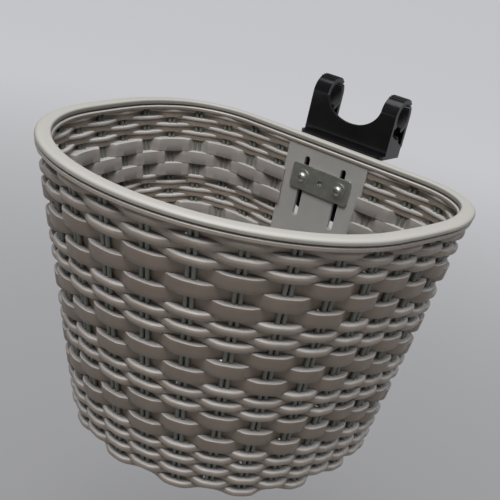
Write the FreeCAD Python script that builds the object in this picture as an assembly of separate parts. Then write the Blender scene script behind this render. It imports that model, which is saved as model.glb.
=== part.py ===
import FreeCAD, Part
import math
import os
from FreeCAD import Vector, Rotation

# Handlebar basket with its clamp-on bracket, all sizes in millimetres.
# Origin: on the handlebar's axis, midway between the two clamps.
# +X along the handlebar, +Y towards the rider, +Z up. The basket hangs on the -Y side.

# ---- driving dimensions ----------------------------------------------------
handlebar_r = 11.1          # 22.2 mm handlebar
shim_t = 1.35               # rubber liner in each clamp

rim_back = Vector(0, -28.0, -37.5)   # middle of the rim's back edge, at its top face
rim_w = 12.5                # width of the rim band
rim_h = 3.8                 # height of the rim band
rim_round = 2.3             # rounding of the rim's two top edges

# plan of the rim's outer edge: straight back, two corners, two shoulders, two sides, one front arc
back_half = 93.2            # half of the straight back
corner_r = 71.2
corner_turn = 72.3          # degrees turned by each back corner
shoulder_r = 161.5
shoulder_turn = 22.4
side_r = 652.0
side_turn = 5.9             # degrees turned by each nearly straight side

basket_h = 250.0            # rim top to the bottom of the basket
base_scale = 0.78           # base plan as a share of the rim plan
base_forward = 0.0          # how far the base's back edge stands forward of the rim's
wall_top = 9.0              # depth below the rim's top where the woven wall starts
wall_inset = 2.0            # the wall's outer face stands this far inside the rim's edge
wall_t = 3.5
floor_t = 3.0

bead_inset = 0.9            # flange under the rim, seen as a thin bead inside and outside
bead_w = 12.8
bead_top = 5.6
tongue_w = 6.8              # tongue of the shell that the rim snaps over
snap_gap = 0.1

panel_half_w = 43.0         # flat mounting panel in the back wall
panel_face = 12.6           # depth of the panel's inner face behind the rim's back edge
panel_t = 4.0
panel_low = 125.0           # panel's lower edge, below the rim's top
panel_rib_t = 2.5

screw_half_gap = 20.0       # the two panel screws stand 40 mm apart
screw_drop = 38.0           # panel screws' depth below the rim's top
slot_top = 18.1
slot_low = 77.4
slot_r = 2.7
screw_r = 2.4
hole_r = 2.7

plate_w = 64.0              # zinc clamp plate inside the basket
plate_h = 24.2
plate_t = 2.0
plate_corner_r = 3.0
plate_mid_hole_r = 2.5
washer_r = 7.5
washer_t = 1.0
head_r = 4.6
head_h = 3.0
nut_af = 8.0                # width across the flats of an M5 nut
nut_t = 4.0

body_gap = 0.3              # air between parts that move past each other

bracket_half_w = 45.0
bracket_t = 3.5
bracket_front = -16.0       # front face of the upper plate
yoke_half_w = 29.0          # elliptical cut-out that clears the stem
yoke_drop = 22.0
yoke_centre_z = 3.5
shelf_corner_r = 9.0
hanger_half_w = 31.0        # lower plate behind the basket's panel
hanger_low = 73.0           # its lower edge, below the rim's top
hanger_corner_r = 8.0

clamp_x = 37.0              # middle of each clamp along the handlebar
hook_w = 16.0
hook_start = 50.0           # degrees from +Y, turning up: the hook's tip behind the bar
hook_end = 225.0
hook_rib_r = 0.9
keeper_w = 14.0
keeper_start = -75.0
keeper_end = 35.0
keeper_low = -34.0
clamp_bolt_z = -24.0
clamp_bolt_r = 2.5
clamp_bolt_tip = -10.0
boss_r = 6.5
boss_end = 6.0
boss_bore_r = 2.8
boss_bore_end = -11.5
nut_pocket_y = -4.0
nut_pocket_gap = 0.2

# ---- sizes that follow -----------------------------------------------------
saddle_r = handlebar_r + shim_t + 0.05
clamp_outer_r = saddle_r + bracket_t
rim_top = rim_back.z
screw_z = rim_top - screw_drop
panel_face_y = rim_back.y - panel_face
plate_back_y = panel_face_y - body_gap
plate_front_y = plate_back_y - plate_t
hanger_front = rim_back.y + body_gap
hanger_back = hanger_front + bracket_t
shelf_top = rim_top + 1.0
shelf_low = shelf_top - bracket_t
plate_rear = bracket_front + bracket_t
keeper_front = saddle_r
keeper_back = saddle_r + bracket_t
heel_y = keeper_front - body_gap


# ---- helpers ---------------------------------------------------------------
def box(low, high):
    size = [high[i] - low[i] for i in range(3)]
    return Part.makeBox(size[0], size[1], size[2], Vector(*low))


def rod(radius, y_from, y_to, x, z):
    """Round bar along Y."""
    return Part.makeCylinder(radius, y_to - y_from, Vector(x, y_from, z), Vector(0, 1, 0))


def hexagon(across_flats, y_from, y_to, x, z):
    """Hexagonal bar along Y, flats facing up and down."""
    corner = across_flats / math.sqrt(3)
    points = []
    for k in range(7):
        turn = math.radians(60 * k)
        points.append(Vector(x + corner * math.cos(turn), y_from, z + corner * math.sin(turn)))
    face = Part.Face(Part.makePolygon(points))
    return face.extrude(Vector(0, y_to - y_from, 0))


def slab(points, corner_radii, y_from, y_to):
    """Flat plate in the XZ plane with rounded corners, from corner points (x, z)."""
    return rounded_face(points, corner_radii, "y", y_from).extrude(Vector(0, y_to - y_from, 0))


def rounded_face(points, corner_radii, normal, level):
    """Face whose corners are rounded by tangent arcs; points lie in XZ or in XY."""
    def place(p):
        return Vector(p[0], level, p[1]) if normal == "y" else Vector(p[0], p[1], level)

    edges = []
    ends = []
    count = len(points)
    for i, point in enumerate(points):
        before = Vector(*points[i - 1], 0) - Vector(*point, 0)
        after = Vector(*points[(i + 1) % count], 0) - Vector(*point, 0)
        half = before.getAngle(after) / 2
        before.normalize()
        after.normalize()
        here = Vector(*point, 0)
        radius = corner_radii[i]
        reach = radius / math.tan(half)
        start = here + before * reach
        stop = here + after * reach
        middle_line = before + after
        middle_line.normalize()
        centre = here + middle_line * (radius / math.sin(half))
        crest = centre - middle_line * radius
        ends.append((start, crest, stop, radius))
    for i, (start, crest, stop, radius) in enumerate(ends):
        if radius > 0:
            arc = [place((v.x, v.y)) for v in (start, crest, stop)]
            edges.append(Part.Arc(*arc).toShape())
        following = ends[(i + 1) % count][0]
        if stop.distanceToPoint(following) > 1e-6:
            line_from = place((stop.x, stop.y))
            line_to = place((following.x, following.y))
            edges.append(Part.makeLine(line_from, line_to))
    return Part.Face(Part.Wire(edges))


def sector(inner_r, outer_r, start, end, x_mid, width):
    """Part of a ring round the handlebar's axis, between two angles from +Y turning up."""
    def at(radius, angle):
        turn = math.radians(angle)
        return Vector(x_mid - width / 2, radius * math.cos(turn), radius * math.sin(turn))

    middle = (start + end) / 2
    edges = [
        Part.Arc(at(outer_r, start), at(outer_r, middle), at(outer_r, end)).toShape(),
        Part.makeLine(at(outer_r, end), at(inner_r, end)),
        Part.Arc(at(inner_r, end), at(inner_r, middle), at(inner_r, start)).toShape(),
        Part.makeLine(at(inner_r, start), at(outer_r, start)),
    ]
    return Part.Face(Part.Wire(edges)).extrude(Vector(width, 0, 0))


def turned_head(x, z, seat_y, height):
    """Domed screw head turned about Y; a negative height makes it stand on the -Y side."""
    edge_y = seat_y + height * 0.3
    rounding = Vector(x + head_r * 0.74, seat_y + height * 0.84, z)
    edges = [
        Part.makeLine(Vector(x, seat_y, z), Vector(x + head_r, seat_y, z)),
        Part.makeLine(Vector(x + head_r, seat_y, z), Vector(x + head_r, edge_y, z)),
        Part.Arc(Vector(x + head_r, edge_y, z), rounding, Vector(x, seat_y + height, z)).toShape(),
        Part.makeLine(Vector(x, seat_y + height, z), Vector(x, seat_y, z)),
    ]
    return Part.Face(Part.Wire(edges)).revolve(Vector(x, seat_y, z), Vector(0, 1, 0), 360)


def slot(x, z_low, z_high, y_from, y_to, radius):
    """Upright slot with round ends; z_low and z_high are its outer ends."""
    body = box((x - radius, y_from, z_low + radius), (x + radius, y_to, z_high - radius))
    low_end = rod(radius, y_from, y_to, x, z_low + radius)
    high_end = rod(radius, y_from, y_to, x, z_high - radius)
    return body.fuse([low_end, high_end])


def edges_at(shape, test):
    return [edge for edge in shape.Edges if test(edge.CenterOfMass, edge)]


# ---- plan outline of the basket --------------------------------------------
def outline(scale, forward, inset, depth):
    """Closed plan curve, depth below the rim's top.

    The rim's plan is scaled about the middle of its back edge, moved forward (to -Y)
    and then set in by the same distance all round.
    """
    arcs = []
    point = Vector(-back_half, 0, 0)
    heading = math.pi
    for radius, turn in ((corner_r, corner_turn), (shoulder_r, shoulder_turn), (side_r, side_turn)):
        centre = point + Vector(-math.sin(heading), math.cos(heading), 0) * radius
        arcs.append((centre, radius, heading, heading + math.radians(turn)))
        heading += math.radians(turn)
        point = centre + Vector(math.sin(heading), -math.cos(heading), 0) * radius
    front_r = -point.x / math.sin(2 * math.pi - heading)
    front_centre = point + Vector(-math.sin(heading), math.cos(heading), 0) * front_r

    def at(centre, radius, angle):
        reach = radius * scale - inset
        local = centre * scale + Vector(math.sin(angle), -math.cos(angle), 0) * reach
        return rim_back + Vector(local.x, local.y - forward, -depth)

    def mirror(v):
        return Vector(2 * rim_back.x - v.x, v.y, v.z)

    left = []
    for centre, radius, begin, finish in arcs:
        stops = (begin, (begin + finish) / 2, finish)
        left.append([at(centre, radius, angle) for angle in stops])
    front = [at(front_centre, front_r, angle) for angle in (heading, 2 * math.pi)]
    front.append(mirror(front[0]))
    right = [[mirror(v) for v in reversed(arc)] for arc in reversed(left)]
    edges = [Part.makeLine(right[-1][2], left[0][0])]
    for arc in left + [front] + right:
        edges.append(Part.Arc(*arc).toShape())
    return Part.Wire(edges)


def ring(inset, width, depth_top, depth_low):
    """Upright-sided band that follows the rim's plan."""
    outer = Part.Face(outline(1, 0, inset, depth_low))
    inner = Part.Face(outline(1, 0, inset + width, depth_low))
    return outer.cut(inner).extrude(Vector(0, 0, depth_low - depth_top))


def wall_share(depth):
    """0 at the top of the woven wall, 1 at the basket's bottom."""
    return (depth - wall_top) / (basket_h - wall_top)


def wall_outline(inset, depth):
    share = wall_share(depth)
    return outline(1 - (1 - base_scale) * share, base_forward * share, inset, depth)


# ---- basket ----------------------------------------------------------------
def make_basket_shell():
    """Moulded shell: tapered wall, floor, flange under the rim and slotted back panel."""
    outer = Part.makeLoft([wall_outline(wall_inset, wall_top), wall_outline(wall_inset, basket_h)],
                          True, True)
    inset = wall_inset + wall_t
    over_top = wall_top - 5
    inner = Part.makeLoft([wall_outline(inset, over_top), wall_outline(inset, basket_h - floor_t)],
                          True, True)
    wall = outer.cut(inner)

    panel_z = (rim_top - panel_low, rim_top - wall_top)
    window = box((-panel_half_w, rim_back.y - 40, panel_z[0]), (panel_half_w, rim_back.y + 10, panel_z[1]))
    wall = wall.cut(window)

    face = panel_face_y
    panel = box((-panel_half_w, face, panel_z[0]), (panel_half_w, rim_back.y, panel_z[1]))
    pocket = box((-panel_half_w + panel_rib_t, face + panel_t, panel_z[0] + panel_rib_t),
                 (panel_half_w - panel_rib_t, rim_back.y + 1, panel_z[1] - panel_rib_t))
    panel = panel.cut(pocket)
    for side in (-1, 1):
        x = side * screw_half_gap
        z_low = rim_top - slot_low
        z_high = rim_top - slot_top
        rib = panel_rib_t
        collar = slot(x, z_low - rib, z_high + rib, face + panel_t - 0.5, rim_back.y, slot_r + rib)
        panel = panel.fuse(collar)
    for side in (-1, 1):
        x = side * screw_half_gap
        panel = panel.cut(slot(x, rim_top - slot_low, rim_top - slot_top, face - 1, rim_back.y + 1, slot_r))

    flange = ring(bead_inset, bead_w, bead_top, wall_top)
    tongue_inset = (rim_w - tongue_w) / 2
    tongue = ring(tongue_inset, tongue_w, rim_h / 2 + snap_gap, bead_top)
    return wall.fuse([panel, flange, tongue]).removeSplitter()


def make_rim():
    """Rim band that snaps over the shell's tongue."""
    band = ring(0, rim_w, 0, rim_h)
    top_edges = edges_at(band, lambda c, e: abs(c.z - rim_top) < 1e-6)
    band = band.makeFillet(rim_round, top_edges)
    groove_inset = (rim_w - tongue_w) / 2 - snap_gap
    groove = ring(groove_inset, tongue_w + 2 * snap_gap, rim_h / 2, rim_h + 1)
    return band.cut(groove)


# ---- screws, washers and nuts ----------------------------------------------
def make_clamp_plate():
    """Zinc-plated plate inside the basket that spreads the two screws' load."""
    half_w = plate_w / 2
    half_h = plate_h / 2
    corners = [(-half_w, screw_z - half_h), (half_w, screw_z - half_h),
               (half_w, screw_z + half_h), (-half_w, screw_z + half_h)]
    plate = slab(corners, [plate_corner_r] * 4, plate_front_y, plate_back_y)
    for x, radius in ((-screw_half_gap, hole_r), (screw_half_gap, hole_r), (0, plate_mid_hole_r)):
        plate = plate.cut(rod(radius, plate_front_y - 1, plate_back_y + 1, x, screw_z))
    return plate


def make_washer(x, y_from):
    disc = rod(washer_r, y_from, y_from + washer_t, x, screw_z)
    return disc.cut(rod(hole_r, y_from - 1, y_from + washer_t + 1, x, screw_z))


def make_panel_screw(x):
    """M5 pan-head screw with a cross recess, its head inside the basket."""
    under_head = plate_front_y - washer_t
    tip = hanger_back + washer_t + nut_t + 2.2
    shank = rod(screw_r, under_head - 0.5, tip, x, screw_z)
    head = turned_head(x, screw_z, under_head, -head_h)
    recess_depth = head_h * 0.62
    for turn in (0, 90):
        blade = box((-2.5, under_head - head_h - 1, -0.6), (2.5, under_head - head_h + recess_depth, 0.6))
        blade.rotate(Vector(0, 0, 0), Vector(0, 1, 0), turn + 20)
        blade.translate(Vector(x, 0, screw_z))
        head = head.cut(blade)
    return head.fuse(shank)


def make_nut(x, y_from, z, bore_r):
    nut = hexagon(nut_af, y_from, y_from + nut_t, x, z)
    crown_r = nut_af / 2 + 0.55
    nut = nut.common(Part.makeCone(crown_r + nut_t, crown_r, nut_t, Vector(x, y_from, z), Vector(0, 1, 0)))
    return nut.cut(rod(bore_r, y_from - 1, y_from + nut_t + 1, x, z))


# ---- handlebar bracket -----------------------------------------------------
def make_bracket():
    """Moulded bracket: yoke plate, shelf, hanger behind the basket, two hooks over the bar."""
    half = bracket_half_w
    yoke = box((-half, bracket_front, shelf_low), (half, plate_rear, 0))
    cut = Part.Ellipse(Vector(0, 0, 0), yoke_half_w, yoke_drop).toShape()
    cut = Part.Face(Part.Wire([cut])).extrude(Vector(0, 0, 30))
    cut.rotate(Vector(0, 0, 0), Vector(1, 0, 0), 90)
    cut.translate(Vector(0, plate_rear + 5, yoke_centre_z))
    yoke = yoke.cut(cut)

    shelf_plan = [(-half, hanger_front), (half, hanger_front), (half, plate_rear), (-half, plate_rear)]
    radii = [shelf_corner_r, shelf_corner_r, 0, 0]
    shelf = rounded_face(shelf_plan, radii, "z", shelf_low).extrude(Vector(0, 0, bracket_t))

    hang_low = rim_top - hanger_low
    hanger_plan = [(-hanger_half_w, hang_low), (hanger_half_w, hang_low),
                   (hanger_half_w, shelf_top - 1), (-hanger_half_w, shelf_top - 1)]
    hanger = slab(hanger_plan, [hanger_corner_r, hanger_corner_r, 0, 0], hanger_front, hanger_back)
    body = yoke.fuse([shelf, hanger])

    for side in (-1, 1):
        rib_x = side * (hanger_half_w - 1.5)
        rib_points = [Vector(rib_x - 1.25, hanger_back - 1, hang_low + 12),
                      Vector(rib_x - 1.25, plate_rear - 1, shelf_low + 1),
                      Vector(rib_x - 1.25, hanger_back - 1, shelf_low + 1)]
        rib = Part.Face(Part.makePolygon(rib_points + [rib_points[0]])).extrude(Vector(2.5, 0, 0))
        body = body.fuse(rib)

        foot_x = (side * half, side * (half - hook_w))
        foot = box((min(foot_x), plate_rear - 1, shelf_low), (max(foot_x), heel_y, shelf_top))
        gusset_x = side * half - (2.8 if side > 0 else 0)
        gusset_points = [Vector(gusset_x, plate_rear - 1, shelf_top - 1),
                         Vector(gusset_x, heel_y, shelf_top - 1),
                         Vector(gusset_x, heel_y, keeper_low + 5),
                         Vector(gusset_x, plate_rear - 1, -17)]
        gusset = Part.Face(Part.makePolygon(gusset_points + [gusset_points[0]])).extrude(Vector(2.8, 0, 0))

        x = side * clamp_x
        boss = rod(boss_r, plate_rear - 1, boss_end, x, clamp_bolt_z)
        boss_web = box((x - 1.5, plate_rear - 1, shelf_top - 1), (x + 1.5, boss_end - 2, clamp_bolt_z))
        hook = sector(saddle_r, clamp_outer_r, hook_start, hook_end, x, hook_w)
        ribs = []
        for angle in range(66, 115, 12):
            turn = math.radians(angle)
            centre = Vector(x - hook_w / 2, clamp_outer_r * math.cos(turn), clamp_outer_r * math.sin(turn))
            ribs.append(Part.makeCylinder(hook_rib_r, hook_w, centre, Vector(1, 0, 0)))
        body = body.fuse([foot, gusset, boss, boss_web, hook] + ribs)

        saddle = Part.makeCylinder(saddle_r, hook_w + 2, Vector(x - hook_w / 2 - 1, 0, 0), Vector(1, 0, 0))
        bore = rod(boss_bore_r, boss_bore_end, boss_end + 1, x, clamp_bolt_z)
        pocket_half = nut_af / 2 + nut_pocket_gap
        pocket_x = (x, x + side * (boss_r + 1))
        pocket_inner = x - side * (nut_af / math.sqrt(3) + nut_pocket_gap)
        pocket_x = (min(pocket_inner, pocket_x[1]), max(pocket_inner, pocket_x[1]))
        pocket = box((pocket_x[0], nut_pocket_y - nut_pocket_gap, clamp_bolt_z - pocket_half),
                     (pocket_x[1], nut_pocket_y + nut_t + nut_pocket_gap, clamp_bolt_z + pocket_half))
        body = body.cut(saddle.fuse([bore, pocket]))
        body = body.cut(rod(hole_r, hanger_front - 1, hanger_back + 1, side * screw_half_gap, screw_z))
    return body.removeSplitter()


def make_hook_shim(x):
    return sector(handlebar_r, handlebar_r + shim_t, hook_start + 3, hook_end - 3, x, hook_w)


# ---- rear clamp half -------------------------------------------------------
def make_keeper(x):
    """Rear half of a clamp: a jaw behind the bar and an ear down to the bolt."""
    jaw = sector(saddle_r, clamp_outer_r, keeper_start, keeper_end, x, keeper_w)
    half = keeper_w / 2
    corners = [(x - half, keeper_low), (x + half, keeper_low), (x + half, 0), (x - half, 0)]
    ear = slab(corners, [5, 5, 0, 0], keeper_front, keeper_back)
    web_points = [Vector(x - 1.5, keeper_front + 0.5, -19), Vector(x - 1.5, keeper_front + 0.5, -3),
                  Vector(x - 1.5, clamp_outer_r * 0.55, -12.5)]
    web = Part.Face(Part.makePolygon(web_points + [web_points[0]])).extrude(Vector(3, 0, 0))
    keeper = jaw.fuse([ear, web])
    bar_space = Part.makeCylinder(saddle_r, keeper_w + 2, Vector(x - half - 1, 0, 0), Vector(1, 0, 0))
    keeper = keeper.cut(bar_space)
    return keeper.cut(rod(hole_r, keeper_front - 1, keeper_back + 1, x, clamp_bolt_z)).removeSplitter()


def make_keeper_shim(x):
    return sector(handlebar_r, handlebar_r + shim_t, keeper_start + 3, keeper_end - 3, x, keeper_w)


def make_keeper_washer(x):
    disc = rod(5.0, keeper_back, keeper_back + washer_t, x, clamp_bolt_z)
    return disc.cut(rod(hole_r, keeper_back - 1, keeper_back + washer_t + 1, x, clamp_bolt_z))


def make_keeper_bolt(x):
    """M5 hexagon-head bolt that pulls the keeper against the bar."""
    under_head = keeper_back + washer_t
    shank = rod(clamp_bolt_r, clamp_bolt_tip, under_head + 0.5, x, clamp_bolt_z)
    head = hexagon(nut_af, under_head, under_head + 3.5, x, clamp_bolt_z)
    crown = Part.makeCone(nut_af / 2 + 3.9, nut_af / 2 + 0.4, 3.5, Vector(x, under_head, clamp_bolt_z),
                          Vector(0, 1, 0))
    return head.common(crown).fuse(shank)


# ---- all the pieces --------------------------------------------------------
def make_parts():
    parts = {
        "basket_shell": make_basket_shell(),
        "rim": make_rim(),
        "clamp_plate": make_clamp_plate(),
        "bracket": make_bracket(),
    }
    for name, side in (("left", -1), ("right", 1)):
        x = side * screw_half_gap
        parts["panel_screw_" + name] = make_panel_screw(x)
        parts["front_washer_" + name] = make_washer(x, plate_front_y - washer_t)
        parts["back_washer_" + name] = make_washer(x, hanger_back)
        parts["panel_nut_" + name] = make_nut(x, hanger_back + washer_t, screw_z, screw_r + 0.05)
        x = side * clamp_x
        parts["hook_shim_" + name] = make_hook_shim(x)
        parts["clamp_nut_" + name] = make_nut(x, nut_pocket_y, clamp_bolt_z, clamp_bolt_r + 0.05)
        parts["keeper_" + name] = make_keeper(x)
        parts["keeper_shim_" + name] = make_keeper_shim(x)
        parts["keeper_washer_" + name] = make_keeper_washer(x)
        parts["keeper_bolt_" + name] = make_keeper_bolt(x)
    return parts


def main():
    os.makedirs("parts", exist_ok=True)
    for name, shape in make_parts().items():
        if not shape.isValid() or len(shape.Solids) != 1:
            print("check", name, shape.isValid(), len(shape.Solids))
        shape = shape.Solids[0]
        box_mm = shape.optimalBoundingBox(False, False)
        print(f"{name:22s} {shape.Volume / 1000:8.2f} cm3  x {box_mm.XMin:.1f} {box_mm.XMax:.1f}"
              f"  y {box_mm.YMin:.1f} {box_mm.YMax:.1f}  z {box_mm.ZMin:.1f} {box_mm.ZMax:.1f}")
        shape.exportStep(f"parts/{name}.step")


main()
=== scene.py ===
import math

import bpy
import numpy as np
from mathutils import Matrix, Vector


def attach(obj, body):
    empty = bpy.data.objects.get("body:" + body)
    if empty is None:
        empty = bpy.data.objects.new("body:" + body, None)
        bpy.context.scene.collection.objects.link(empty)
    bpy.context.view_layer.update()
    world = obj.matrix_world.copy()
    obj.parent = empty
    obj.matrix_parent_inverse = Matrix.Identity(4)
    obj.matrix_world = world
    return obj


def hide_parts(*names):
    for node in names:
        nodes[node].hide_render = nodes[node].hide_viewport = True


MM = 0.001

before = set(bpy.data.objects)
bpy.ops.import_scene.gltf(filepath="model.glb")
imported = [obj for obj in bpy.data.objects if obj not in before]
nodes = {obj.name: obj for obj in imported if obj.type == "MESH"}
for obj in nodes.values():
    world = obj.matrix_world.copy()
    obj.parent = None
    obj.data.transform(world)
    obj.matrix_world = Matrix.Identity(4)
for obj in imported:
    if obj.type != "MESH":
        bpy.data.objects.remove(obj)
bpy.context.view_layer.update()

# ---- dimensions of the basket, in millimetres ------------------------------
# Plan: x to the basket's right, y towards the handlebar, 0 at the rim's back edge.
# Depth is measured down from the rim's top face.
RIM_BACK = np.array([0.0, -28.0, -37.5])
BACK_HALF = 93.2            # half of the straight back
ARCS = ((71.2, 72.3), (161.5, 22.4), (652.0, 5.9))   # radius and turn in degrees: corner, shoulder, side
HEIGHT = 250.0
WALL_TOP = 9.0              # depth at which the wall's taper starts
BASE_SCALE = 0.78           # base plan as a share of the rim's

WALL_MID = 8.2              # the weave's middle surface, inside the rim's edge
PANEL_HALF = 43.0           # half of the back panel's width
PANEL_FACE = 12.6           # from the rim's back edge in to the panel's inner face
PANEL_T = 4.0
PANEL_LOW = 125.0           # depth of the panel's lower edge

FIRST_STAKE = 54.7          # along the back from the middle
SIDE_STAKES, SIDE_PITCH = 10, 33.65
FRONT_STAKES = 5            # from the last side stake to the front centre
CREST = 6.2                 # half of the weave's thickness, crest to crest
ROUND_T, FLAT_T = 5.2, 4.2  # strand thickness
INNER_SHARE = 0.3           # part of a strand's thickness that counts as its inside face, which gets the paler inside material as painted light
INNER_CREST = 4.8           # reach of the round rows' inner faces
STRAND_MIN = 1.6            # least thickness of a strand
PLATE_SLOPE, PLATE_SHIFT = 3.85, -2.46     # the flat rows' inner plates: steepness and extra width
PLATE_DEPTH = 5.4           # depth of the recesses between a flat row's inner plates
PER_STAKE = 20              # points along a row for each stake

WEB_TOP, WEB_LOW = 0.05, 0.9      # a web's faces, below the joint between its two rows
WEB_REACH = 0.3             # how far a web runs into the strands on each side
WEB_LAP = 0.01              # overlap of neighbouring stretches of web
HOLE_NEAR, HOLE_FAR = 4.4, 6.6    # a hole's ends, measured along the wall from its stake's middle
HOLE_STEP = 7               # one place in this many has a hole
LONG_SPAN, LONG_POINTS, SHORT_POINTS = 12.0, 17, 5     # points along a stretch of web, by its length
PANEL_LAP = 1.0             # how far rows and webs run into the panel's edges

STAKE_R = 1.75
STAKE_HALF_GAP = 2.25
STAKE_STRETCH = 1.15        # a rod's reach through the wall, as a share of its width along it
STAKE_END = 6.0             # depth at which the stakes start, and their distance from the bottom
STAKE_SIDES, STAKE_RINGS = 12, 30

RIM_W, RIM_H = 12.5, 3.8
RIM_OUTER_REACH, RIM_OUTER_DROP = 4.6, 2.9     # rounding over the rim's outer edge
RIM_INNER_ROUND = 2.0
RIM_EDGE = 0.1              # keeps the band just inside the rim's own edge
GROOVE_OUT, GROOVE_IN, GROOVE_TOP = 2.55, 9.95, 1.9    # the rim's groove, from its edge and its top
# Sections of the two bands under the rim, as (distance inside the rim's edge, depth).
TONGUE = ((2.85, 2.3), (9.65, 2.3), (9.65, 5.9), (2.85, 5.9))
BEAD = ((0.9, 6.4), (1.5, 5.7), (7.5, 5.6), (13.1, 5.7), (13.7, 6.4),
        (13.7, 8.2), (13.1, 9.0), (7.5, 9.0), (1.5, 9.0), (0.9, 8.2))

SLOT_X, SLOT_TOP, SLOT_LOW, SLOT_R = 20.0, 18.1, 77.4, 2.7
PANEL_ROUND = 0.35          # rounding of the panel's edges
RIB_T = 2.5
RIB_LAP = 0.5               # how far the ribs run into the panel
RIB_CLEAR = 0.3             # from the ribs' back faces to the rim's back edge

BAR_PITCH, BAR_HALF_W = 14.0, 2.6
BAR_LOW, BAR_TOP = 2.0, 5.0       # the floor bars' faces, above the basket's bottom
BAR_STEP, BAR_SINK = 0.5, 0.4     # how much thinner the bars along x are, below and on top
BAR_INSET = 4.5             # from the weave's middle surface to the bars' ends
BAR_LEAST = 30.0            # shorter bars are left out
BARS_ACROSS, BARS_ALONG = 9, 20   # most bars on each side of the middle one, along y and along x
BARS_MIDDLE = -150.0        # y of the middle bar along x

ROW_TOP = 9.3
ROW_H = 6.94
FLAT_RATIO = 1.72           # a flat row's height over a round one's
ROW_PATTERN = "RRRRFFFRRRRFFFRRRRFFFRRRRRRR"


# ---- plan curve -------------------------------------------------------------
def plan_segments():
    """Right half of the plan as (length, start point, start heading, radius), radius 0 for a line."""
    point, heading = np.zeros(2), 0.0
    found = [(BACK_HALF, point, heading, 0.0)]
    point = point + np.array([BACK_HALF, 0.0])
    for radius, degrees in ARCS:
        turn = math.radians(degrees)
        found.append((radius * turn, point, heading, radius))
        centre = point + radius * np.array([math.sin(heading), -math.cos(heading)])
        heading -= turn
        point = centre + radius * np.array([-math.sin(heading), math.cos(heading)])
    turn = math.pi + heading
    radius = point[0] / math.sin(turn)
    found.append((radius * turn, point, heading, radius))
    return found


SEGMENTS = plan_segments()
HALF = sum(part[0] for part in SEGMENTS)


def plan(s):
    """Points and outward normals of the rim's outer edge; s runs from the back's middle, + to the right."""
    s = np.asarray(s, float)
    side = np.where(s < 0, -1.0, 1.0)
    rest = np.abs(s)
    over = rest > HALF
    rest = np.where(over, 2 * HALF - rest, rest)
    side = np.where(over, -side, side)
    point = np.zeros(s.shape + (2,))
    normal = np.zeros(s.shape + (2,))
    start = 0.0
    for i, (length, origin, heading, radius) in enumerate(SEGMENTS):
        last = i == len(SEGMENTS) - 1
        inside = (rest >= start) & ((rest <= start + length + 1e-9) if last else (rest < start + length))
        along = rest[inside] - start
        if radius == 0:
            point[inside] = origin + along[:, None] * np.array([math.cos(heading), math.sin(heading)])
            normal[inside] = np.array([-math.sin(heading), math.cos(heading)])
        else:
            centre = origin + radius * np.array([math.sin(heading), -math.cos(heading)])
            turn = heading - along / radius
            out = np.stack([-np.sin(turn), np.cos(turn)], -1)
            point[inside] = centre + radius * out
            normal[inside] = out
        start += length
    point[..., 0] *= side
    normal[..., 0] *= side
    return point, normal


def wall(s, depth, out):
    """Points on the tapered wall in metres; out is the distance outwards from the weave's middle."""
    s, depth, out = np.broadcast_arrays(s, depth, out)
    share = (depth - WALL_TOP) / (HEIGHT - WALL_TOP)
    point, normal = plan(s)
    scale = 1 - (1 - BASE_SCALE) * share
    xy = point * scale[..., None] + normal * (out - WALL_MID)[..., None]
    x = RIM_BACK[0] + xy[..., 0]
    y = RIM_BACK[1] + xy[..., 1]
    z = RIM_BACK[2] - depth
    return np.stack([x, y, z], -1) * MM


# ---- mesh helpers -----------------------------------------------------------
def mesh_piece(name, verts, faces, material, body, smooth=True, sharp_deg=None):
    """Object made from vertices in metres, riding on a body."""
    data = bpy.data.meshes.new(name)
    data.from_pydata([tuple(v) for v in verts], [], [tuple(f) for f in faces])
    data.update()
    data.materials.append(material)
    for polygon in data.polygons:
        polygon.use_smooth = smooth
    if sharp_deg is not None:
        data.set_sharp_from_angle(angle=math.radians(sharp_deg))
    made = bpy.data.objects.new(name, data)
    bpy.context.scene.collection.objects.link(made)
    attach(made, body)
    return made


def tube_faces(rings, around, closed, first=0):
    """Quads of a tube with the given number of rings; a tube that isn't closed gets end caps."""
    faces = []
    count = rings if closed else rings - 1
    for i in range(count):
        a = first + i * around
        b = first + ((i + 1) % rings) * around
        for j in range(around):
            k = (j + 1) % around
            faces.append((a + j, a + k, b + k, b + j))
    if not closed:
        faces.append(tuple(first + j for j in range(around))[::-1])
        last = first + (rings - 1) * around
        faces.append(tuple(last + j for j in range(around)))
    return faces


# ---- materials --------------------------------------------------------------
MOTTLE, PATCHES = (38.0, 5.0, 0.6), (120.0, 4.0, 0.65)     # noise: scale, detail, roughness
FINE = (3.0, 0.6)                   # the grain's noise: detail, roughness
GRAIN_HEIGHT, SCRATCH_HEIGHT = 0.0004, 0.0002
TOP_FROM, TOP_TO = 0.30, 0.95       # upward share of a face's normal between which the painted top light fades in


def node(tree, kind, **values):
    """Shader node with its inputs, or failing that its properties, set by name."""
    made = tree.nodes.new(kind)
    for key, value in values.items():
        if key in made.inputs.keys():
            made.inputs[key].default_value = value
        else:
            setattr(made, key, value)
    return made


def new_material(name):
    """Material with its node tree, its shader and a source of object coordinates."""
    mat = bpy.data.materials.new(name)
    mat.use_nodes = True
    tree = mat.node_tree
    return mat, tree, tree.nodes["Principled BSDF"], node(tree, "ShaderNodeTexCoord")


def noise(tree, vector, scale, detail, roughness):
    made = node(tree, "ShaderNodeTexNoise", Scale=scale, Detail=detail, Roughness=roughness)
    tree.links.new(vector, made.inputs["Vector"])
    return made.outputs["Fac"]


def two_tone(tree, value, low, high, low_at, high_at):
    """Colour that runs from low to high between two values."""
    ramp = node(tree, "ShaderNodeValToRGB")
    for element, colour, place in zip(ramp.color_ramp.elements, (low, high), (low_at, high_at)):
        element.position = place
        element.color = (*colour, 1)
    tree.links.new(value, ramp.inputs["Fac"])
    return ramp.outputs["Color"]


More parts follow.
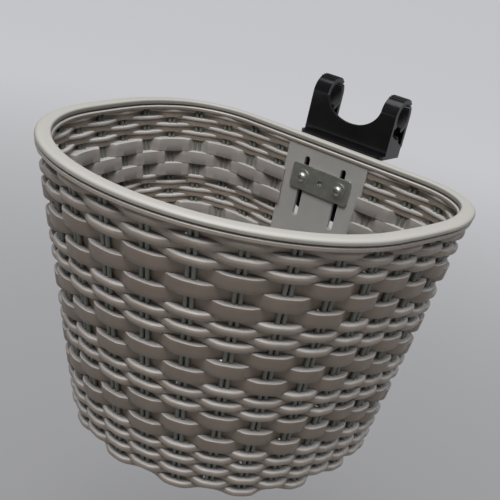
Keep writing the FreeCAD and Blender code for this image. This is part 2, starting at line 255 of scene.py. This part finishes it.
def rescale(tree, value, low, high, to=(0.0, 1.0), smooth=False):
    """Value brought from low..high to another range."""
    made = node(tree, "ShaderNodeMapRange")
    if smooth:
        made.interpolation_type = "SMOOTHSTEP"
    made.inputs["From Min"].default_value = low
    made.inputs["From Max"].default_value = high
    made.inputs["To Min"].default_value = to[0]
    made.inputs["To Max"].default_value = to[1]
    tree.links.new(value, made.inputs["Value"])
    return made.outputs["Result"]


def bump(tree, shader, height, strength, distance):
    raised = node(tree, "ShaderNodeBump", Strength=strength, Distance=distance)
    tree.links.new(height, raised.inputs["Height"])
    tree.links.new(raised.outputs["Normal"], shader.inputs["Normal"])


def paint_top_light(tree, colour, top):
    """The colour given, running to a second one on faces that look up: a painted top light for light
    falling from above.
    """
    facing = node(tree, "ShaderNodeNewGeometry")
    parts = node(tree, "ShaderNodeSeparateXYZ")
    tree.links.new(facing.outputs["Normal"], parts.inputs["Vector"])
    blend = node(tree, "ShaderNodeMixRGB")
    blend.inputs["Color2"].default_value = (*top, 1)
    tree.links.new(rescale(tree, parts.outputs["Z"], TOP_FROM, TOP_TO, smooth=True), blend.inputs["Fac"])
    tree.links.new(colour, blend.inputs["Color1"])
    return blend.outputs["Color"]


def plastic(name, low, high, roughness, grain, strength, top=None, specular=0.5):
    """Moulded plastic: mottled colour, fine grain, uneven gloss and, if given, a painted top light that
    makes upward faces paler.
    """
    mat, tree, shader, place = new_material(name)
    shader.inputs["Specular IOR Level"].default_value = specular
    around = place.outputs["Object"]
    colour = two_tone(tree, noise(tree, around, *MOTTLE), low, high, 0.3, 0.72)
    if top:
        colour = paint_top_light(tree, colour, top)
    tree.links.new(colour, shader.inputs["Base Color"])
    gloss = rescale(tree, noise(tree, around, *PATCHES), 0.3, 0.7, roughness)
    tree.links.new(gloss, shader.inputs["Roughness"])
    bump(tree, shader, noise(tree, around, grain, *FINE), strength, GRAIN_HEIGHT)
    return mat


def metal(name, colour, roughness):
    """Zinc plate: dull grey metal with cloudy patches and fine scratches."""
    mat, tree, shader, place = new_material(name)
    shader.inputs["Metallic"].default_value = 0.9
    dull = [c * 0.72 for c in colour]
    cloud = noise(tree, place.outputs["Object"], 150.0, 6.0, 0.65)
    tree.links.new(two_tone(tree, cloud, dull, colour, 0.3, 0.7), shader.inputs["Base Color"])
    stretch = node(tree, "ShaderNodeMapping")
    stretch.inputs["Scale"].default_value = (60.0, 900.0, 900.0)
    tree.links.new(place.outputs["Object"], stretch.inputs["Vector"])
    lines = noise(tree, stretch.outputs["Vector"], 1.0, 3.0, 0.5)
    tree.links.new(rescale(tree, lines, 0.0, 1.0, roughness), shader.inputs["Roughness"])
    bump(tree, shader, lines, 0.12, SCRATCH_HEIGHT)
    return mat


# Colours of the painted top light on upward faces, for light falling from above; the dim one is for the
# flat rows.
PAINTED_TOP_LIGHT, DIM_PAINTED_TOP_LIGHT = (0.56, 0.545, 0.53), (0.44, 0.425, 0.41)
GRAIN, GRAIN_STRENGTH = 2600.0, 0.25      # the wicker's grain: scale and strength

# The wicker is one plastic, and these are lit and shaded copies of it. The outside flat rows are darker as
# painted shade, and the faces inside the basket are paler as painted light. The inside flat rows are darker
# than the inside round rows.
WEAVE = plastic("wicker_plastic", (0.222, 0.184, 0.148), (0.275, 0.231, 0.190), (0.30, 0.44),
                GRAIN, GRAIN_STRENGTH, PAINTED_TOP_LIGHT)
SHADED_FLAT_WEAVE = plastic("wicker_flat", (0.165, 0.130, 0.099), (0.21, 0.169, 0.132), (0.32, 0.46),
                     GRAIN, GRAIN_STRENGTH, DIM_PAINTED_TOP_LIGHT)
LIT_INSIDE_FLAT = plastic("wicker_flat_inside_painted_light", (0.245, 0.224, 0.207), (0.30, 0.277, 0.258), (0.34, 0.48),
                     GRAIN, GRAIN_STRENGTH, DIM_PAINTED_TOP_LIGHT)
LIT_INSIDE_WEAVE = plastic("wicker_inside_painted_light", (0.40, 0.37, 0.345), (0.48, 0.447, 0.42), (0.34, 0.48),
                      GRAIN, GRAIN_STRENGTH, PAINTED_TOP_LIGHT)
# Stakes: the wicker plastic darkened as painted shade for their deep recesses.
STAKE = plastic("stake_plastic_painted_shade", (0.13, 0.132, 0.112), (0.165, 0.168, 0.147), (0.36, 0.5), GRAIN, 0.2)
# Rim plastic: its own light grey darkened as painted shade on the sides, with a painted top light making
# up-facing faces paler.
RIM = plastic("rim_plastic", (0.21, 0.199, 0.178), (0.25, 0.237, 0.212), (0.38, 0.5), 2400.0, 0.2,
              top=(0.40, 0.386, 0.358))
PANEL = plastic("panel_plastic", (0.32, 0.308, 0.295), (0.36, 0.348, 0.33), (0.5, 0.62), 3000.0, 0.3)
BLACK = plastic("black_plastic", (0.004, 0.004, 0.005), (0.008, 0.008, 0.009), (0.1, 0.2), 260.0, 0.12,
                specular=0.38)
RUBBER = plastic("clamp_rubber", (0.02, 0.02, 0.02), (0.035, 0.035, 0.034), (0.75, 0.9), 2200.0, 0.4)
ZINC = metal("zinc_steel", (0.50, 0.515, 0.475), (0.3, 0.5))


# ---- weave ------------------------------------------------------------------
def stake_places():
    """Arc length of every stake, the right half first, the front centre last."""
    places = [FIRST_STAKE + i * SIDE_PITCH for i in range(SIDE_STAKES)]
    step = (HALF - places[-1]) / FRONT_STAKES
    places += [places[-1] + step * (i + 1) for i in range(FRONT_STAKES)]
    return places


STAKES = stake_places()
COUNT = len(STAKES)
ALL_STAKES = STAKES + [2 * HALF - p for p in STAKES[-2::-1]]     # once round the plan


def phase_of(s):
    """Number of the stake at s as a running value: 1 at the first stake right of the panel."""
    knots = [0.0] + ALL_STAKES + [2 * HALF]
    first_gap = FIRST_STAKE / SIDE_PITCH
    values = [1 - first_gap] + list(range(1, 2 * COUNT)) + [2 * COUNT - 1 + first_gap]
    return np.interp(s, knots, values)


def row_levels():
    """(depth of the middle, height, is flat) of every row, from the top down."""
    depth, rows = ROW_TOP, []
    for kind in ROW_PATTERN:
        height = ROW_H * (FLAT_RATIO if kind == "F" else 1.0)
        rows.append((depth + height / 2, height, kind == "F"))
        depth += height
    return rows


ROWS = row_levels()


def wave_of(s, index):
    """Running wave of a row: +1 where the row passes outside a stake, -1 where it passes inside."""
    return np.cos(math.pi * phase_of(s)) * (1 if (index % 2) else -1)


def outer_face(s, index):
    """Distance of a row's outer crest line outwards from the wall's middle."""
    wave = wave_of(s, index)
    thick = FLAT_T if ROWS[index - 1][2] else ROUND_T
    return (CREST - thick / 2) * wave * (1.5 - 0.5 * wave ** 2) + thick / 2


def inner_face(s, index):
    """Distance of a row's inner face outwards from the wall's middle; a flat row's has level plates."""
    wave = wave_of(s, index)
    if ROWS[index - 1][2]:
        plate = np.clip(PLATE_SLOPE * wave + PLATE_SHIFT, -1.0, 1.0)
        near = -CREST + PLATE_DEPTH * 0.5 * (plate + 1.0)
    else:
        near = (INNER_CREST - ROUND_T / 2) * wave - ROUND_T / 2
    return np.minimum(near, outer_face(s, index) - STRAND_MIN)


def strand_middle(s, index):
    """Distance of a row's middle line outwards from the wall's middle."""
    return 0.5 * (outer_face(s, index) + inner_face(s, index))


def section(flat):
    """Closed strand section as (share from the inner face to the outer one, share of half its height)."""
    if flat:
        inner = [(0.06, -1.0), (0.0, -0.94), (0.0, 0.0), (0.0, 0.82), (0.05, 0.95), (0.2, 1.0), (0.5, 1.0)]
        outer = [(0.86, 1.0), (0.94, 0.98), (0.985, 0.93), (1.0, 0.86), (1.0, 0.3), (1.0, -0.3),
                 (1.0, -0.90), (0.93, -1.0), (0.5, -1.0)]
        return inner + outer
    centre = 0.42
    turns = np.radians([-90, -72, -54, -38, -22, -7, 8, 23, 38, 54, 72, 90])
    outer = [(centre + (1 - centre) * math.cos(a), math.copysign(abs(math.sin(a)) ** 0.9, math.sin(a)))
             for a in turns]
    inner = [(0.2, 1.0), (0.05, 0.97), (0.0, 0.88), (0.0, 0.52), (0.06, 0.32), (0.2, 0.18),
             (0.36, 0.08), (0.40, -0.5)]
    return outer + inner


def weave_row(index, level):
    """Vertices and faces of one row; even rows pass outside the odd-numbered stakes."""
    depth, height, flat = level
    broken = depth < PANEL_LOW
    gap = PANEL_HALF - PANEL_LAP
    start, stop = (gap, 2 * HALF - gap) if broken else (0.0, 2 * HALF)
    s = np.linspace(start, stop, 2 * COUNT * PER_STAKE, endpoint=broken)
    near, far = inner_face(s, index), outer_face(s, index)
    rise = 0.5 * height
    rings = []
    for across, up in section(flat):
        rings.append(wall(s, depth - up * rise, near + across * (far - near)))
    verts = np.stack(rings, 1).reshape(-1, 3)
    return verts, tube_faces(len(s), len(rings), not broken)


def web_spans(index, broken):
    """Stretches of web under a row as (start, end) along the wall, with its holes left out."""
    spans = []
    for i, place in enumerate(ALL_STAKES):
        last = i == len(ALL_STAKES) - 1
        follow = ALL_STAKES[0] + 2 * HALF if last else ALL_STAKES[i + 1]
        pierced = (5 * i + 3 * index) % HOLE_STEP == 0
        reach = HOLE_FAR if pierced else HOLE_NEAR - WEB_LAP
        spans.append((place - HOLE_NEAR, place + HOLE_NEAR))
        if last and broken:
            spans.append((place + reach, 2 * HALF - PANEL_HALF + PANEL_LAP))
            spans.append((PANEL_HALF - PANEL_LAP, ALL_STAKES[0] - HOLE_NEAR))
        else:
            spans.append((place + reach, follow - HOLE_NEAR))
    return spans


def webs():
    """Thin level webs that close the wall between the rows, with a small hole beside some stakes."""
    verts, faces = [], []
    count = 0
    for index in range(1, len(ROWS)):
        depth = ROWS[index][0] - ROWS[index][1] / 2
        for low, high in web_spans(index, depth < PANEL_LOW):
            s = np.linspace(low, high, LONG_POINTS if high - low > LONG_SPAN else SHORT_POINTS)
            turn = np.mod(s, 2 * HALF)
            first, second = strand_middle(turn, index), strand_middle(turn, index + 1)
            near, far = np.minimum(first, second) - WEB_REACH, np.maximum(first, second) + WEB_REACH
            high_side, low_side = depth + WEB_TOP, depth + WEB_LOW
            rings = [wall(turn, high_side, near), wall(turn, high_side, far),
                     wall(turn, low_side, far), wall(turn, low_side, near)]
            verts.append(np.stack(rings, 1).reshape(-1, 3))
            faces += tube_faces(len(s), 4, False, count)
            count += 4 * len(s)
    return np.concatenate(verts), faces


def row_bands():
    """Neighbouring rows of one kind as (first, one past the last)."""
    bands, start = [], 0
    for i in range(1, len(ROW_PATTERN) + 1):
        if i == len(ROW_PATTERN) or ROW_PATTERN[i] != ROW_PATTERN[start]:
            bands.append((start, i))
            start = i
    return bands


def build_weave():
    """One piece for each band of rows, with a second material, paler as painted light, on the faces inside
    the basket.
    """
    pieces = []
    for number, (first, last) in enumerate(row_bands(), 1):
        verts, faces, sides = [], [], []
        flat = ROWS[first][2]
        shares = section(flat)
        for i in range(first, last):
            v, f = weave_row(i + 1, ROWS[i])
            offset = sum(len(x) for x in verts)
            verts.append(v)
            faces += [tuple(k + offset for k in face) for face in f]
            sides += [int(shares[face[0] % len(shares)][0] < INNER_SHARE) for face in f]
        piece = mesh_piece(f"weave_band_{number}", np.concatenate(verts), faces,
                           SHADED_FLAT_WEAVE if flat else WEAVE, "basket", sharp_deg=42)
        piece.data.materials.append(LIT_INSIDE_FLAT if flat else LIT_INSIDE_WEAVE)
        piece.data.polygons.foreach_set("material_index", sides)
        pieces.append(piece)
    return pieces


def build_stakes():
    """Twin rods down the wall."""
    verts, faces = [], []
    depths = np.linspace(STAKE_END, HEIGHT - STAKE_END, STAKE_RINGS)
    turns = np.arange(STAKE_SIDES) * 2 * math.pi / STAKE_SIDES
    for place in ALL_STAKES:
        _, out = plan(np.array([place]))
        normal = np.array([out[0, 0], out[0, 1], 0.0])
        tangent = np.array([-normal[1], normal[0], 0.0])
        circle = np.outer(np.cos(turns), tangent) + STAKE_STRETCH * np.outer(np.sin(turns), normal)
        for offset in (-STAKE_HALF_GAP, STAKE_HALF_GAP):
            first = sum(len(v) for v in verts)
            middles = wall(np.full(len(depths), place), depths, np.zeros(len(depths)))
            rings = [middle + MM * (tangent * offset + STAKE_R * circle) for middle in middles]
            verts.append(np.concatenate(rings))
            faces += tube_faces(STAKE_RINGS, STAKE_SIDES, False, first)
    return mesh_piece("stakes", np.concatenate(verts), faces, STAKE, "basket")


def swept_ring(name, profile, material, samples=360, sharp=35):
    """Band round the whole plan; profile is (distance inside the rim's edge, depth), in millimetres."""
    s = np.linspace(0, 2 * HALF, samples, endpoint=False)
    point, normal = plan(s)
    rings = []
    for inset, depth in profile:
        xy = point - normal * inset
        rings.append(np.stack([RIM_BACK[0] + xy[:, 0], RIM_BACK[1] + xy[:, 1],
                               np.full(len(s), RIM_BACK[2] - depth)], -1) * MM)
    verts = np.stack(rings, 1).reshape(-1, 3)
    return mesh_piece(name, verts, tube_faces(len(s), len(profile), True), material, "basket",
                      sharp_deg=sharp)


def rim_profile():
    """Section of the rim band: rounded over its outer edge, a smaller rounding inside, a groove below."""
    points = [(RIM_W, RIM_H)]
    for a in np.radians([0, 22.5, 45, 67.5, 90]):
        points.append((RIM_W - RIM_INNER_ROUND * (1 - math.cos(a)), RIM_INNER_ROUND * (1 - math.sin(a))))
    for a in np.radians([90, 75, 60, 45, 30, 15, 0]):
        points.append((RIM_EDGE + RIM_OUTER_REACH * (1 - math.cos(a)), RIM_OUTER_DROP * (1 - math.sin(a))))
    return points + [(RIM_EDGE, RIM_H), (GROOVE_OUT, RIM_H), (GROOVE_OUT, GROOVE_TOP),
                     (GROOVE_IN, GROOVE_TOP), (GROOVE_IN, RIM_H)]


weave = build_weave()
build_stakes()
web_verts, web_faces = webs()
mesh_piece("weave_webs", web_verts, web_faces, WEAVE, "basket", smooth=False)
swept_ring("top_bead", BEAD, WEAVE)
rim_band = swept_ring("rim_band", rim_profile(), RIM, samples=540, sharp=40)
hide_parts("rim")
swept_ring("rim_tongue", TONGUE, WEAVE)


# ---- back panel -------------------------------------------------------------
def slot_outline(x, low, high, radius, steps=10):
    """Upright slot with round ends."""
    points = []
    for i in range(steps + 1):
        a = math.pi * i / steps
        points.append((x + radius * math.cos(a), high - radius + radius * math.sin(a)))
    for i in range(steps + 1):
        a = math.pi + math.pi * i / steps
        points.append((x + radius * math.cos(a), low + radius + radius * math.sin(a)))
    return points


def flat_plate(name, outlines, y_mm, thickness, bevel, material, body):
    """Plate in the XZ plane from closed outlines, the first being its edge and the rest its holes."""
    curve = bpy.data.curves.new(name, "CURVE")
    curve.dimensions = "2D"
    curve.fill_mode = "BOTH"
    curve.extrude = (thickness / 2 - bevel) * MM
    curve.bevel_depth = bevel * MM
    curve.bevel_resolution = 2
    curve.offset = -bevel * MM
    for outline in outlines:
        spline = curve.splines.new("POLY")
        spline.points.add(len(outline) - 1)
        for i, (x, z) in enumerate(outline):
            spline.points[i].co = (x * MM, z * MM, 0, 1)
        spline.use_cyclic_u = True
    holder = bpy.data.objects.new(name + "_curve", curve)
    bpy.context.scene.collection.objects.link(holder)
    bpy.context.view_layer.update()
    data = bpy.data.meshes.new_from_object(holder.evaluated_get(bpy.context.evaluated_depsgraph_get()))
    bpy.data.objects.remove(holder)
    turn = Matrix.Rotation(math.radians(90), 4, "X")
    data.transform(Matrix.Translation((0, (y_mm + thickness / 2) * MM, 0)) @ turn)
    data.materials.clear()
    data.materials.append(material)
    for polygon in data.polygons:
        polygon.use_smooth = True
    data.set_sharp_from_angle(angle=math.radians(30))
    made = bpy.data.objects.new(name, data)
    bpy.context.scene.collection.objects.link(made)
    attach(made, body)
    return made


def box_mesh(parts):
    """Vertices and faces of several boxes given by their low and high corners in millimetres."""
    verts, faces = [], []
    for low, high in parts:
        k = len(verts)
        for x in (low[0], high[0]):
            for y in (low[1], high[1]):
                for z in (low[2], high[2]):
                    verts.append((x * MM, y * MM, z * MM))
        faces += [(k, k + 1, k + 3, k + 2), (k + 4, k + 6, k + 7, k + 5), (k, k + 4, k + 5, k + 1),
                  (k + 2, k + 3, k + 7, k + 6), (k, k + 2, k + 6, k + 4), (k + 1, k + 5, k + 7, k + 3)]
    return verts, faces


back_y, rim_z = RIM_BACK[1], RIM_BACK[2]
panel_low, panel_top = rim_z - PANEL_LOW, rim_z - WALL_TOP


def build_panel():
    """Back panel with its two slots."""
    edge = [(-PANEL_HALF, panel_low), (PANEL_HALF, panel_low),
            (PANEL_HALF, panel_top), (-PANEL_HALF, panel_top)]
    slots = [slot_outline(x, rim_z - SLOT_LOW, rim_z - SLOT_TOP, SLOT_R) for x in (-SLOT_X, SLOT_X)]
    return flat_plate("back_panel", [edge] + slots, back_y - PANEL_FACE, PANEL_T, PANEL_ROUND, PANEL,
                      "basket")


def build_ribs():
    """Ribs behind the panel, down its sides and along its lower edge."""
    front, back = back_y - PANEL_FACE + PANEL_T - RIB_LAP, back_y - RIB_CLEAR
    spans = ((-PANEL_HALF, -PANEL_HALF + RIB_T, panel_top), (PANEL_HALF - RIB_T, PANEL_HALF, panel_top),
             (-PANEL_HALF, PANEL_HALF, panel_low + RIB_T))
    ribs = [((left, front, panel_low), (right, back, top)) for left, right, top in spans]
    verts, faces = box_mesh(ribs)
    return mesh_piece("panel_ribs", verts, faces, PANEL, "basket", smooth=False)


build_panel()
build_ribs()


# ---- floor lattice ----------------------------------------------------------
def floor_span(value, along_x, inset):
    """Ends of a straight bar over the base at a given x or y, in millimetres."""
    s = np.linspace(0, 2 * HALF, 1440, endpoint=False)
    p = wall(s, np.full(len(s), HEIGHT - BAR_LOW), np.full(len(s), -inset)) / MM
    axis, other = (1, 0) if along_x else (0, 1)
    line = p[:, axis] - value
    hits = []
    for i in range(len(s)):
        j = (i + 1) % len(s)
        if line[i] * line[j] <= 0 and line[i] != line[j]:
            t = line[i] / (line[i] - line[j])
            hits.append(p[i, other] + t * (p[j, other] - p[i, other]))
    return (min(hits), max(hits)) if len(hits) >= 2 else None


def build_floor():
    """Lattice of flat bars just above the basket's bottom."""
    parts = []
    low, high = rim_z - HEIGHT + BAR_LOW, rim_z - HEIGHT + BAR_TOP
    for k in range(-BARS_ACROSS, BARS_ACROSS + 1):
        x = k * BAR_PITCH
        span = floor_span(x, False, BAR_INSET)
        if span and span[1] - span[0] > BAR_LEAST:
            parts.append(((x - BAR_HALF_W, span[0], low), (x + BAR_HALF_W, span[1], high)))
    for k in range(-BARS_ALONG, BARS_ALONG + 1):
        y = BARS_MIDDLE + k * BAR_PITCH
        span = floor_span(y, True, BAR_INSET)
        if span and span[1] - span[0] > BAR_LEAST:
            parts.append(((span[0], y - BAR_HALF_W, low + BAR_STEP),
                          (span[1], y + BAR_HALF_W, high - BAR_SINK)))
    verts, faces = box_mesh(parts)
    return mesh_piece("floor_grid", verts, faces, WEAVE, "basket", smooth=False)


build_floor()

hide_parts("basket_shell")

# ---- finishes of the CAD nodes ----------------------------------------------
EDGE_ROUND = {"bracket": 0.7, "clamp_plate": 0.4}    # edge rounding in millimetres


def finish_of(name):
    if name in ("bracket", "keeper_left", "keeper_right"):
        return BLACK
    return RUBBER if "shim" in name else ZINC


def soften_edges(piece, width_mm):
    """Small rounding on the sharp edges, with the flat faces kept flat."""
    weld = piece.modifiers.new("joined", "WELD")
    weld.merge_threshold = 1e-6
    merge = piece.modifiers.new("flat_faces", "DECIMATE")
    merge.decimate_type = "DISSOLVE"
    merge.angle_limit = math.radians(0.3)
    soften = piece.modifiers.new("edges", "BEVEL")
    soften.width = width_mm * MM
    soften.segments = 3
    soften.limit_method = "ANGLE"
    soften.angle_limit = math.radians(50)
    soften.use_clamp_overlap = True
    level = piece.modifiers.new("even", "WEIGHTED_NORMAL")
    level.weight = 80


for name, piece in nodes.items():
    if name in ("basket_shell", "rim"):
        continue
    piece.data.materials.clear()
    piece.data.materials.append(finish_of(name))
    if name in EDGE_ROUND:
        soften_edges(piece, EDGE_ROUND[name])

# ---- stage, light and camera ------------------------------------------------
FLOOR_Z = -0.85
FLOOR_SIZE = 600.0
NEAR_SHADE_TONE, FAR_TONE = (0.27, 0.27, 0.28, 1), (0.60, 0.60, 0.62, 1)
TONE_FROM, TONE_TO = 0.3, 4.2       # the floor's painted shade fades out between these distances from its middle

KEY_PLACE, KEY_AIM = (0.30, -1.25, 1.75), (0, -0.2, -0.2)
KEY_SIZE, KEY_POWER = 0.9, 30
SKY_AIM, SKY_STRENGTH, SKY_SPREAD = (-0.1, 0.12, -1.0), 2.5, 70      # spread in degrees
WORLD_COLOUR, WORLD_STRENGTH = (0.93, 0.96, 1.0, 1), 0.15

LENS = 60.68
CAMERA_PLACE = (0.35935, -0.71722, 0.13587)
CAMERA_TURN = 31.7695       # degrees, to the left of straight at the basket's front
CAMERA_TILT = 20.9185       # degrees below level
CAMERA_ROLL = 12.8575       # degrees, the camera's right side up

scene = bpy.context.scene

bpy.ops.mesh.primitive_plane_add(size=FLOOR_SIZE, location=(0, 0, FLOOR_Z))
ground = bpy.context.object
ground.name = "ground"


def ground_material():
    """Pale floor with painted shade: darker near its middle."""
    mat, tree, shader, place = new_material("ground_pale")
    shader.inputs["Roughness"].default_value = 0.9
    reach = node(tree, "ShaderNodeVectorMath", operation="LENGTH")
    tree.links.new(place.outputs["Object"], reach.inputs[0])
    tones = node(tree, "ShaderNodeMixRGB")
    tones.inputs["Color1"].default_value = NEAR_SHADE_TONE
    tones.inputs["Color2"].default_value = FAR_TONE
    share = rescale(tree, reach.outputs["Value"], TONE_FROM, TONE_TO, smooth=True)
    tree.links.new(share, tones.inputs["Fac"])
    tree.links.new(tones.outputs["Color"], shader.inputs["Base Color"])
    return mat


ground.data.materials.append(ground_material())


def build_world():
    world = bpy.data.worlds.new("studio")
    scene.world = world
    world.use_nodes = True
    background = world.node_tree.nodes["Background"]
    background.inputs["Color"].default_value = WORLD_COLOUR
    background.inputs["Strength"].default_value = WORLD_STRENGTH


def add_light(data, direction, place=(0, 0, 0)):
    """Light object at a place, shining in a direction."""
    made = bpy.data.objects.new(data.name, data)
    made.location = place
    made.rotation_mode = "QUATERNION"
    made.rotation_quaternion = Vector(direction).to_track_quat("-Z", "Y")
    scene.collection.objects.link(made)


def build_lights():
    """Soft key from above the front, and a wide soft light from overhead."""
    key = bpy.data.lights.new("key", "AREA")
    key.shape = "SQUARE"
    key.size = KEY_SIZE
    key.energy = KEY_POWER
    add_light(key, Vector(KEY_AIM) - Vector(KEY_PLACE), KEY_PLACE)
    sky = bpy.data.lights.new("sky", "SUN")
    sky.energy = SKY_STRENGTH
    sky.angle = math.radians(SKY_SPREAD)
    add_light(sky, SKY_AIM)


def build_camera():
    data = bpy.data.cameras.new("camera")
    data.sensor_width = 36.0
    data.lens = LENS
    data.clip_start = 0.05
    data.clip_end = 400.0
    camera = bpy.data.objects.new("camera", data)
    scene.collection.objects.link(camera)
    scene.camera = camera
    turn = Matrix.Rotation(math.radians(CAMERA_TURN), 3, "Z")
    tilt = Matrix.Rotation(math.radians(90 - CAMERA_TILT), 3, "X")
    roll = Matrix.Rotation(math.radians(CAMERA_ROLL), 3, "Z")
    camera.rotation_mode = "QUATERNION"
    camera.rotation_quaternion = (turn @ tilt @ roll).to_quaternion()
    camera.location = CAMERA_PLACE


build_world()
build_lights()
build_camera()

scene.view_settings.view_transform = "Standard"
